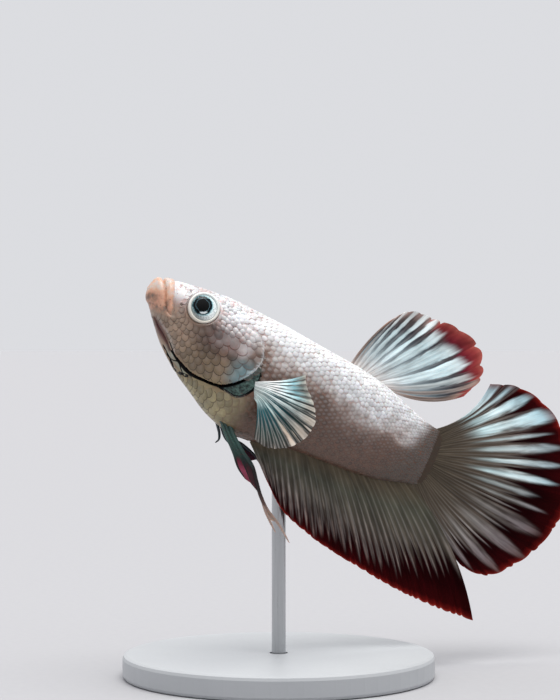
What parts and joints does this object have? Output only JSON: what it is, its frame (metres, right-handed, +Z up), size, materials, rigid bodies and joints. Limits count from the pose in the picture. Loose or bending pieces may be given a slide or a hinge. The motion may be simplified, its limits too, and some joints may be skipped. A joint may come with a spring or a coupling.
{
  "type": "betta fish display model",
  "caption": "Life-size model of a short-finned betta fish, swimming nose up, on a round base with a rod. Still, with no moving parts.",
  "frame": {"origin": "middle of the stand base's underside, on the floor, straight below the rod", "axes": "-X the way the fish faces, -Y its left side and the side it is seen from, +Z up"},
  "size_m": [0.0636, 0.04, 0.051],
  "materials": {
    "skin": "satin, painted as pale pinkish scales with brown edges, white along the back",
    "lips": "satin, painted orange-pink with dark specks",
    "eyes": "polished, a black pupil in a pale aqua iris with a white rim",
    "fins": "satin, pale icy blue rays on dark teal and grey skin, with dark red edges",
    "stand_base": "satin grey acrylic",
    "stand_rod": "brushed"
  },
  "bodies": {
    "root": {"head": "skin", "lower_jaw": "lips", "upper_jaw": "lips", "gill_cover_left": "skin", "gill_cover_right": "skin", "eye_left": "eyes", "eye_right": "eyes", "trunk_front": "skin", "trunk_rear": "skin", "tail_stalk": "skin", "dorsal_fin": "fins", "anal_fin": "fins", "caudal_fin": "fins", "pectoral_fin_left": "fins", "pectoral_fin_right": "fins", "pelvic_fin_left": "fins", "pelvic_fin_right": "fins", "stand_base": "stand_base", "stand_rod": "stand_rod"}
  },
  "joints": []
}
